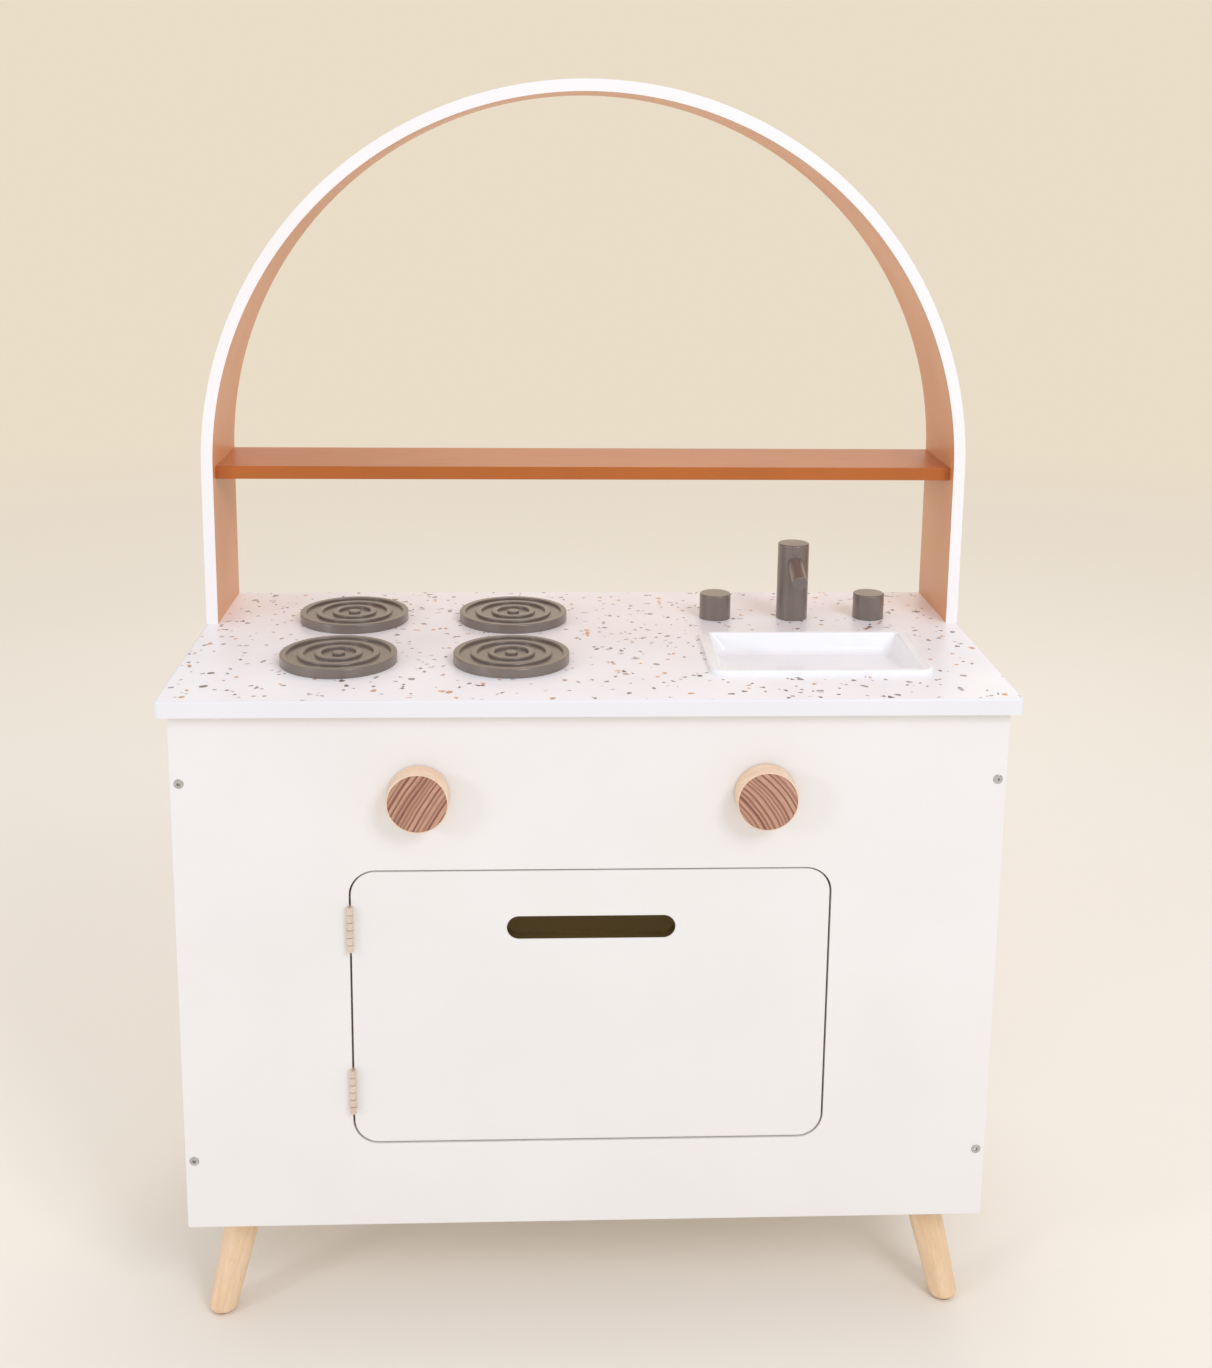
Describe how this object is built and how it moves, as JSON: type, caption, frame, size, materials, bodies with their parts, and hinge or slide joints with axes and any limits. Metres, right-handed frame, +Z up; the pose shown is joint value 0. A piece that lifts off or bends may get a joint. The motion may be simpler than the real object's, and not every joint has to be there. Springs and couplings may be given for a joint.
{
  "type": "toy kitchen",
  "caption": "Free-standing children's play kitchen with a swing oven door, turning knobs, hob discs, lift-out sink, swivel faucet and a tall arch with a shelf",
  "frame": {"origin": "on the floor, midway between the left and right sides and midway between the faces of the control knobs and the back", "axes": "+X right as seen from the front, +Y toward the back, +Z up"},
  "size_m": [0.7, 0.341, 1.0679],
  "materials": {
    "carcass_lacquer": "satin off-white lacquer on board",
    "worktop_lacquer": "satin white lacquer on board edges",
    "terrazzo_laminate": "satin laminate printed with sparse terrazzo chips",
    "arch_lacquer": "satin white lacquer outside, terracotta lacquer on the inner face",
    "terracotta_lacquer": "satin terracotta lacquer",
    "taupe_lacquer": "satin taupe-grey lacquer on turned wood",
    "beech": "clear matt lacquer on turned beech",
    "dowel_beech": "raw fluted dowel",
    "striped_wood": "brushed brown striped veneer",
    "sink_plastic": "moulded white plastic",
    "hinge_brass": "pale satin brass",
    "zinc_steel": "bright zinc plate",
    "magnet": "nickel-plated magnet",
    "nylon": "natural nylon",
    "felt": "pressed felt"
  },
  "bodies": {
    "carcass": {"front_panel": "carcass_lacquer", "left_side_panel": "carcass_lacquer", "right_side_panel": "carcass_lacquer", "bottom_panel": "carcass_lacquer", "back_panel": "carcass_lacquer", "front_rail": "carcass_lacquer", "back_rail": "carcass_lacquer", "carcass_dowels": "dowel_beech", "worktop": "worktop_lacquer", "worktop_laminate": "terrazzo_laminate", "worktop_screws": "zinc_steel", "arch": "arch_lacquer", "arch_screws": "zinc_steel", "shelf": "terracotta_lacquer", "shelf_dowels": "dowel_beech", "front_bolts": "zinc_steel", "barrel_nuts": "zinc_steel", "back_screws": "zinc_steel", "door_stop_block": "beech", "catch_magnet": "magnet", "stop_block_screws": "zinc_steel", "hinge_frame_leaf_upper": "hinge_brass", "hinge_frame_leaf_lower": "hinge_brass", "hinge_pins": "hinge_brass", "hinge_frame_screws": "hinge_brass", "burner_front_left": "taupe_lacquer", "burner_front_right": "taupe_lacquer", "burner_back_left": "taupe_lacquer", "burner_back_right": "taupe_lacquer", "burner_screws": "zinc_steel", "leg_front_left": "beech", "leg_front_right": "beech", "leg_back_left": "beech", "leg_back_right": "beech", "leg_plates": "zinc_steel", "leg_plate_screws": "zinc_steel", "hanger_bolts": "zinc_steel", "foot_glides": "felt"},
    "door": {"oven_door": "carcass_lacquer", "hinge_door_leaf_upper": "hinge_brass", "hinge_door_leaf_lower": "hinge_brass", "hinge_door_screws": "hinge_brass", "strike_plate": "zinc_steel"},
    "sink": {"sink_basin": "sink_plastic"},
    "faucet": {"faucet_column": "taupe_lacquer", "faucet_spout": "taupe_lacquer", "faucet_screw": "zinc_steel"},
    "knob_left": {"control_knob_left": "beech", "knob_face_left": "striped_wood", "knob_washers_left": "nylon", "knob_bolt_left": "zinc_steel"},
    "tap_left": {"tap_knob_left": "taupe_lacquer", "tap_screw_left": "zinc_steel"},
    "knob_right": {"control_knob_right": "beech", "knob_face_right": "striped_wood", "knob_washers_right": "nylon", "knob_bolt_right": "zinc_steel"},
    "tap_right": {"tap_knob_right": "taupe_lacquer", "tap_screw_right": "zinc_steel"}
  },
  "joints": [
    {"name": "door_swing", "type": "hinge", "parent": "carcass", "child": "door", "pos_m": [-0.1992, -0.1523, 0.301], "axis": [0, 0, -1], "range_deg": [0, 170]},
    {"name": "sink_lift", "type": "slide", "parent": "carcass", "child": "sink", "axis": [0, 0, 1], "range_m": [0, 0.04]},
    {"name": "faucet_swivel", "type": "hinge", "parent": "carcass", "child": "faucet", "pos_m": [0.196, 0.0805, 0.6], "axis": [0, 0, 1], "continuous": true},
    {"name": "knob_left_turn", "type": "hinge", "parent": "carcass", "child": "knob_left", "pos_m": [-0.1415, -0.1495, 0.491], "axis": [0, -1, 0], "continuous": true},
    {"name": "tap_left_turn", "type": "hinge", "parent": "carcass", "child": "tap_left", "pos_m": [0.123, 0.0805, 0.586], "axis": [0, 0, 1], "continuous": true},
    {"name": "knob_right_turn", "type": "hinge", "parent": "carcass", "child": "knob_right", "pos_m": [0.1415, -0.1495, 0.491], "axis": [0, -1, 0], "continuous": true},
    {"name": "tap_right_turn", "type": "hinge", "parent": "carcass", "child": "tap_right", "pos_m": [0.269, 0.0805, 0.586], "axis": [0, 0, 1], "continuous": true}
  ]
}
